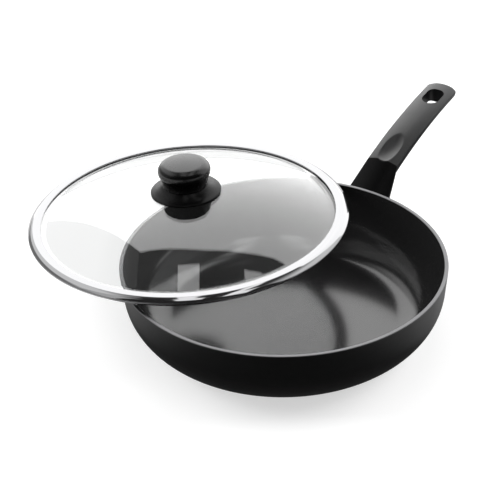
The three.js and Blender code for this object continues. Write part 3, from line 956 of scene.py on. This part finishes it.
class SAUTE_OT_band(Operator):
    """Rolled steel band with a convex shoulder, a lip on the glass and a skirt for the bore"""

    bl_idname = "saute.band"
    bl_label = "Lid Band"

    def execute(self, context):
        settings = context.scene.saute_pan
        lid = settings.lid
        dome = LidDome(lid)
        sheet = lid.band_sheet
        lip = lid.radius - lid.band_width
        top = lip + lid.band_top
        shoulder = lerp(top, lid.radius, SHOULDER_MIDDLE)
        side_low = -SHOULDER_HEIGHT - SIDE_HEIGHT
        side_inner = lid.radius - SIDE_SHEETS * sheet
        foot = dome.border_low - GAP - sheet
        foot_radius = lid.radius - FOOT_BEVEL
        skirt_low = foot - SKIRT_DROP
        bm = outline([
            (lip, -BAND_LIP, HAIR_ROUND),
            (lip, 0, EDGE_ROUND),
            (top, 0, SOFT_ROUND),
            (shoulder, -SHOULDER_FALL * SHOULDER_HEIGHT, SHOULDER_ROUND),
            (lid.radius, -SHOULDER_HEIGHT, FINE_ROUND),
            (lid.radius - BAND_GROOVE, -SHOULDER_HEIGHT - BAND_GROOVE, 0),
            (lid.radius, -SHOULDER_HEIGHT - 2 * BAND_GROOVE, HAIR_ROUND),
            (lid.radius, side_low, SIDE_ROUND),
            (foot_radius, foot, FOOT_ROUND),
            (lid.skirt_radius, foot, EDGE_ROUND),
            (lid.skirt_radius, skirt_low, FINE_ROUND),
            (lid.skirt_radius - sheet, skirt_low, FINE_ROUND),
            (lid.skirt_radius - sheet, foot + sheet, 0),
            (foot_radius - sheet / 2, foot + sheet, 0),
            (side_inner, side_low + sheet / 2, 0),
            (side_inner, -SHOULDER_HEIGHT - sheet / 2, 0),
            (top - sheet / 4, -sheet, 0),
            (lip + sheet, -sheet, 0),
            (lip + sheet, -BAND_LIP, HAIR_ROUND),
        ])
        piece = turned_piece(bm, "band", lid_place(lid))
        location = lid_place(lid).to_translation()
        rotation = (0, lid.lean, lid.bearing)
        settle(piece, "lid", ["lid_band"], [
            turned_metal(
                "polished_band", settings.finish.polished, roughness=(0.05, 0.09), line=0.0006,
                depth=0.00001, mapping=(location, rotation),
            ),
        ])
        return {"FINISHED"}


class SAUTE_OT_knob(Operator):
    """Moulded knob: a rounded cap on a flared collar"""

    bl_idname = "saute.knob"
    bl_label = "Knob"

    def execute(self, context):
        settings = context.scene.saute_pan
        lid, knob = settings.lid, settings.knob
        dome = LidDome(lid)
        edge_low = dome.height(knob.collar_radius, 0) + GAP
        collar_top = edge_low + knob.collar_edge + knob.collar_height
        collar = self.collar(knob, dome, edge_low, collar_top)
        cap = self.cap(knob, collar_top + GAP)
        # Both pieces are one moulding; the collar's duller copy paints the shade under the cap
        for name, node, bm, specular in (
            ("knob_collar", "knob_skirt", collar, COLLAR_SHADE_SPECULAR),
            ("knob_cap", "knob_grip", cap, CAP_SPECULAR),
        ):
            finish = moulded(name, settings.finish.knob, roughness=(0.22, 0.29), specular=specular)
            piece = turned_piece(bm, name, lid_place(lid))
            settle(piece, "lid", [node], [finish])
        return {"FINISHED"}

    def collar(self, knob, dome, edge_low, collar_top):
        """Wire of the hollow collar that stands on the glass"""
        crown = dome.height(0, 0) + GAP
        flare_low = edge_low + knob.collar_edge
        hollow_top = collar_top - knob.collar_wall
        foot = knob.collar_radius - knob.collar_wall
        flare_radius = lerp(knob.waist_radius, knob.collar_radius, FLARE_MIDDLE)
        return outline([
            (knob.shank_radius, crown, 0),
            (knob.hub_radius, crown, SOFT_ROUND),
            (knob.hub_radius, hollow_top, SOFT_ROUND),
            (knob.waist_radius - knob.collar_wall, hollow_top, HOLLOW_ROUND),
            (foot, dome.height(foot, 0) + GAP, 0),
            (knob.collar_radius, edge_low, FINE_ROUND),
            (knob.collar_radius, flare_low, SOFT_ROUND),
            (flare_radius, lerp(flare_low, collar_top, FLARE_RISE), FLARE_ROUND),
            (knob.waist_radius, collar_top, EDGE_ROUND),
            (knob.shank_radius, collar_top, 0),
        ])

    def cap(self, knob, low):
        """Wire of the cap with the bore for its insert"""
        top = low + knob.height
        bore_top = low + knob.bore_depth
        waist_top = low + CAP_WAIST_SHARE * knob.widest_height
        return outline([
            (0, bore_top, 0),
            (knob.bore_radius, bore_top, 0),
            (knob.bore_radius, low, 0),
            (knob.waist_radius, low, EDGE_ROUND),
            (knob.waist_radius + CAP_WAIST_CORNER, waist_top, CAP_SIDE_ROUND),
            (knob.widest_radius + CAP_WIDEST_CORNER, low + knob.widest_height, CAP_SIDE_ROUND),
            (knob.widest_radius - CAP_TOP_INSET, top - knob.crown, CAP_TOP_ROUND),
            (0, top, 0),
        ], closed=False)


class SAUTE_OT_fittings(Operator):
    """Finishes of the fittings that keep their CAD shapes"""

    bl_idname = "saute.fittings"
    bl_label = "Fittings"

    def execute(self, context):
        finish = context.scene.saute_pan.finish
        steel = worked_metal("plain_steel", finish.steel, roughness=(0.3, 0.42))
        brass = worked_metal("plain_brass", finish.brass, roughness=(0.28, 0.4))
        rubber = moulded("bush_rubber", finish.rubber, roughness=(0.6, 0.75), specular=0.4)
        for made, names in (
            (steel, ("handle_bracket", "handle_washer", "handle_screw", "knob_washer", "knob_screw")),
            (brass, ("knob_insert",)),
            (rubber, ("knob_grommet",)),
        ):
            for name in names:
                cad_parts[name].material_slots[0].material = made
        return {"FINISHED"}


# Stage

WHITE = (1, 1, 1, 1)

# A ramp is (start, end, value at start, value at end); X runs to the camera's right and Y away

# Floor in reflections, a painted glow: dark near the pan as painted shade, and bright to the left, to the
# right and at the back
FLOOR_DARK = 0.1
FLOOR_LEFT = (-0.15, -0.24, FLOOR_DARK, 1.3)
FLOOR_RIGHT = (0.13, 0.2, FLOOR_DARK, 1.1)
FLOOR_RIGHT_FRONT = (0.2, 0.05, FLOOR_DARK, 1)
FLOOR_BACK = (0.28, 0.42, FLOOR_DARK, 1.2)

# Floor as the camera sees it: a share of its own colour, and a glow that grows outwards
FLOOR_OWN_SHARE = 0.6
FLOOR_GLOW = (0.6, 1.4, 0.58, 1.0)

# Brightness of the floor through the glass
FLOOR_THROUGH = 0.89

# Studio in reflections; places are metres to the camera's right and away from it, per metre up.
# The least upward part of a direction keeps them finite
LEAST_UP = 0.001

# Softboxes: left, right, near and far edge
SOFTBOXES = (
    (-0.135, -0.03, -0.08, 0.47),
    (0.19, 0.3, -0.08, 0.435),
    (-0.17, 0.03, -0.35, -0.08),
    (0.2, 0.46, -0.35, -0.08),
)

# White wall behind: its upper edge, what the edge rises by to the right, and its two ends as X per Y
WALL_TOP = (-0.3, 0, 0.68, 0.6)
WALL_TOP_RIGHT = (0.35, 1.2, 0, 0.4)
WALL_LEFT_END = -0.5
WALL_RIGHT_END = 1.2

# Left wall: a bright edge, a ramp added to it, their sum, a dim low part and the end as Y per X
LEFT_START = -0.345
LEFT_NEAR = 0.05
LEFT_RAMP = (-0.38, -0.62, 0, 2)
LEFT_SUM = 3
LEFT_LOW = (1.1, 1.4, 1, 0.25)
LEFT_LOW_SLANT = 0.5
LEFT_END = 0.4

# Right wall
RIGHT_START = 0.42
RIGHT_FULL = 1.0
RIGHT_NEAR = -0.15

# Share of the side walls' light that shows through the glass
SIDES_THROUGH = 0.35

# Ceiling: how far back it brightens, and how much
CEILING_BACK = 0.5
CEILING_GAIN = 4

# Brightness under the horizon
UNDER_HORIZON = 0.5

# Diffuse depth over which a ray counts as scattered by a dull surface
SCATTERED = 0.5

# The floor lies just under the base
FLOOR_DROP = 0.0002

# Lamps, counted from the pan; the side lamp stands on the left as well
OVERHEAD_LAMP = (0, 0.3, 2)
SIDE_LAMP = (1.4, 0.35, 0.8)
LAMP_SIZE = 1.2

SENSOR_WIDTH = 36


class Numbers:
    """Number nodes of one node tree"""

    def __init__(self, tree):
        self.tree = tree

    def maths(self, operation, first, second):
        return add(self.tree, "ShaderNodeMath", {0: first, 1: second}, operation=operation).outputs[0]

    def product(self, first, *others):
        for other in others:
            first = self.maths("MULTIPLY", first, other)
        return first

    def larger(self, first, second):
        return self.maths("MAXIMUM", first, second)

    def above(self, value, low):
        return self.maths("GREATER_THAN", value, low)

    def under(self, value, high):
        return self.maths("LESS_THAN", value, high)

    def within(self, value, low, high):
        return self.product(self.above(value, low), self.under(value, high))

    def ramp(self, value, start, end, low, high):
        return add(self.tree, "ShaderNodeMapRange", {
            "Value": value, "From Min": start, "From Max": end, "To Min": low, "To Max": high,
        }).outputs["Result"]

    def mix(self, share, first, second):
        return add(self.tree, "ShaderNodeMix", {0: share, 2: first, 3: second}).outputs[0]

    def facing(self, vector, azimuth):
        """Parts of a vector: to the camera's right, away from the camera and up"""
        turned = add(
            self.tree, "ShaderNodeMapping", {"Vector": vector, "Rotation": (0, 0, azimuth)}
        ).outputs["Vector"]
        return add(self.tree, "ShaderNodeSeparateXYZ", {"Vector": turned}).outputs


def diffuse(tree, base):
    return add(tree, "ShaderNodeBsdfDiffuse", {"Color": (*base, 1)}).outputs[0]


def emission(tree, strength):
    return add(tree, "ShaderNodeEmission", {"Color": WHITE, "Strength": strength}).outputs[0]


def pick(tree, share, first, second):
    return add(tree, "ShaderNodeMixShader", {0: share, 1: first, 2: second}).outputs[0]


def floor_material(stage):
    """Pale floor that takes the shadow; reflections see a painted glow of it with painted shade near the
    pan, and the glass an even glow
    """
    made = bpy.data.materials.new("floor")
    made.use_nodes = True
    tree = made.node_tree
    tree.nodes.clear()
    numbers = Numbers(tree)
    rays = add(tree, "ShaderNodeLightPath").outputs
    parts = numbers.facing(place(tree), stage.azimuth)
    right = numbers.product(
        numbers.ramp(parts["X"], *FLOOR_RIGHT), numbers.ramp(parts["Y"], *FLOOR_RIGHT_FRONT)
    )
    sides = numbers.larger(numbers.ramp(parts["X"], *FLOOR_LEFT), right)
    mirrored = numbers.larger(sides, numbers.ramp(parts["Y"], *FLOOR_BACK))
    reach = add(tree, "ShaderNodeVectorMath", {0: place(tree)}, operation="LENGTH").outputs["Value"]
    own = diffuse(tree, [FLOOR_OWN_SHARE * part for part in stage.floor])
    glow = emission(tree, numbers.ramp(reach, *FLOOR_GLOW))
    lifted = add(tree, "ShaderNodeAddShader", {0: own, 1: glow}).outputs[0]
    # Reflections see the floor's painted glow, with painted shade near the pan
    seen = pick(tree, rays["Is Glossy Ray"], diffuse(tree, stage.floor), emission(tree, mirrored))
    seen = pick(tree, rays["Is Transmission Ray"], seen, emission(tree, FLOOR_THROUGH))
    seen = pick(tree, rays["Is Camera Ray"], seen, lifted)
    add(tree, "ShaderNodeOutputMaterial", {"Surface": seen})
    return made


def back_wall(numbers, parts, across, away):
    """1 on the white wall behind the pan, 0 elsewhere"""
    top = numbers.maths(
        "SUBTRACT", numbers.ramp(across, *WALL_TOP), numbers.ramp(across, *WALL_TOP_RIGHT)
    )
    left_end = numbers.product(parts["Y"], WALL_LEFT_END)
    right_end = numbers.product(parts["Y"], WALL_RIGHT_END)
    return numbers.product(numbers.above(away, top), numbers.within(parts["X"], left_end, right_end))


def softboxes(numbers, across, away):
    """1 in the softboxes, 0 elsewhere"""
    lit = 0.0
    for left, right, near, far in SOFTBOXES:
        box = numbers.product(numbers.within(across, left, right), numbers.within(away, near, far))
        lit = numbers.maths("ADD", box, lit)
    return lit


def left_wall(numbers, parts, across, away, brightness):
    edge = numbers.product(numbers.under(across, LEFT_START), numbers.above(away, LEFT_NEAR))
    share = numbers.maths("ADD", edge, numbers.ramp(across, *LEFT_RAMP))
    low = numbers.maths(
        "SUBTRACT", numbers.product(across, -1), numbers.product(away, LEFT_LOW_SLANT)
    )
    ahead = numbers.above(parts["Y"], numbers.product(parts["X"], LEFT_END))
    return numbers.product(share, brightness / LEFT_SUM, numbers.ramp(low, *LEFT_LOW), ahead)


def right_wall(numbers, across, away, brightness):
    lit = numbers.ramp(across, RIGHT_START, RIGHT_FULL, 0, brightness)
    return numbers.product(lit, numbers.above(away, RIGHT_NEAR))


def studio_world(stage):
    """Soft light; reflections show a white wall, grey side walls and softboxes in a dark ceiling"""
    world = bpy.data.worlds.new("studio")
    bpy.context.scene.world = world
    world.use_nodes = True
    tree = world.node_tree
    tree.nodes.clear()
    numbers = Numbers(tree)
    rays = add(tree, "ShaderNodeLightPath").outputs
    direction = add(tree, "ShaderNodeTexCoord").outputs["Generated"]
    parts = numbers.facing(direction, stage.azimuth)
    upward = numbers.larger(parts["Z"], LEAST_UP)
    across = numbers.maths("DIVIDE", parts["X"], upward)
    away = numbers.maths("DIVIDE", parts["Y"], upward)
    sides = numbers.larger(
        left_wall(numbers, parts, across, away, stage.grey_wall),
        right_wall(numbers, across, away, stage.grey_wall),
    )
    sides = numbers.product(sides, numbers.mix(rays["Is Transmission Ray"], 1.0, SIDES_THROUGH))
    ceiling = numbers.ramp(away, 0, CEILING_BACK, stage.ceiling, CEILING_GAIN * stage.ceiling)
    ceiling = numbers.mix(softboxes(numbers, across, away), ceiling, stage.softbox)
    behind = back_wall(numbers, parts, across, away)
    level = numbers.mix(behind, numbers.larger(ceiling, sides), stage.white_wall)
    level = numbers.mix(numbers.under(parts["Z"], 0), level, UNDER_HORIZON)
    mirrored = numbers.larger(rays["Is Glossy Ray"], rays["Is Transmission Ray"])
    scattered = numbers.above(rays["Diffuse Depth"], SCATTERED)
    soft = numbers.mix(rays["Is Camera Ray"], stage.ambient, 1.0)
    strength = numbers.mix(scattered, numbers.mix(mirrored, soft, level), stage.ambient)
    light = add(tree, "ShaderNodeBackground", {"Color": WHITE, "Strength": strength}).outputs[0]
    add(tree, "ShaderNodeOutputWorld", {"Surface": light})


class SAUTE_OT_stage(Operator):
    """Floor, soft light, white studio and the camera at the photograph's angle"""

    bl_idname = "saute.stage"
    bl_label = "Stage"

    def execute(self, context):
        settings = context.scene.saute_pan
        stage = settings.stage
        bm = bmesh.new()
        bmesh.ops.create_grid(bm, x_segments=1, y_segments=1, size=stage.floor_size / 2)
        bmesh.ops.translate(bm, vec=(0, 0, -FLOOR_DROP), verts=bm.verts)
        floor = to_object(bm, "floor")
        floor.data.materials.append(floor_material(stage))

        aside, away, up = SIDE_LAMP
        self.lamp("overhead_lamp", stage, OVERHEAD_LAMP, stage.overhead_power)
        self.lamp("left_lamp", stage, (-aside, away, up), stage.side_power)
        self.lamp("right_lamp", stage, SIDE_LAMP, stage.side_power)
        studio_world(stage)
        context.scene.view_settings.view_transform = "Standard"
        context.scene.collection.objects.link(self.camera(settings.pan, stage))
        return {"FINISHED"}

    def lamp(self, name, stage, where, power):
        """Soft lamp aimed at the pan, counted from the camera's line of sight; no reflection shows it"""
        data = bpy.data.lights.new(name, "AREA")
        data.energy = power
        data.size = LAMP_SIZE
        made = bpy.data.objects.new(name, data)
        made.location = Matrix.Rotation(-stage.azimuth, 3, "Z") @ Vector(where)
        made.rotation_euler = made.location.to_track_quat("Z", "Y").to_euler()
        made.visible_glossy = False
        made.visible_transmission = False
        bpy.context.scene.collection.objects.link(made)

    def camera(self, pan, stage):
        data = bpy.data.cameras.new("camera")
        data.lens = stage.lens
        data.sensor_width = SENSOR_WIDTH
        made = bpy.data.objects.new("camera", data)
        forward = Vector((0, math.cos(stage.elevation), -math.sin(stage.elevation)))
        level = Vector((1, 0, 0))
        upright = level.cross(forward)
        right = math.cos(stage.roll) * level + math.sin(stage.roll) * upright
        up = math.cos(stage.roll) * upright - math.sin(stage.roll) * level
        back = -stage.distance * (forward + stage.aside * right - stage.below * up)
        axes = Matrix((right, up, -forward)).transposed().to_4x4()
        aimed = Matrix.Translation(back) @ axes
        rim_centre = Matrix.Translation((0, 0, pan.height))
        made.matrix_world = rim_centre @ Matrix.Rotation(-stage.azimuth, 4, "Z") @ aimed
        bpy.context.scene.camera = made
        return made


# Add-on


OPERATORS = (
    SAUTE_OT_vessel,
    SAUTE_OT_disc,
    SAUTE_OT_handle,
    SAUTE_OT_glass,
    SAUTE_OT_band,
    SAUTE_OT_knob,
    SAUTE_OT_fittings,
    SAUTE_OT_stage,
)


class SAUTE_PT_pan(Panel):
    """Lists the pan's settings and the operators that make its pieces"""

    bl_idname = "SAUTE_PT_pan"
    bl_label = "Saute Pan"
    bl_space_type = "VIEW_3D"
    bl_region_type = "UI"
    bl_category = "Saute Pan"

    def draw(self, context):
        settings = context.scene.saute_pan
        for name in ("pan", "handle", "lid", "knob", "finish", "stage"):
            box = self.layout.box()
            box.label(text=name.capitalize())
            group = getattr(settings, name)
            for key in group.__annotations__:
                box.prop(group, key)
        for operator in OPERATORS:
            self.layout.operator(operator.bl_idname)


CLASSES = (
    PanSizes,
    HandleSizes,
    LidSizes,
    KnobSizes,
    Finishes,
    StageSettings,
    PanSettings,
    *OPERATORS,
    SAUTE_PT_pan,
)


def register():
    for made in CLASSES:
        bpy.utils.register_class(made)
    bpy.types.Scene.saute_pan = PointerProperty(type=PanSettings)


def unregister():
    del bpy.types.Scene.saute_pan
    for made in reversed(CLASSES):
        bpy.utils.unregister_class(made)


def main():
    register()
    for operator in OPERATORS:
        group, name = operator.bl_idname.split(".")
        getattr(getattr(bpy.ops, group), name)()


if __name__ == "__main__":
    main()
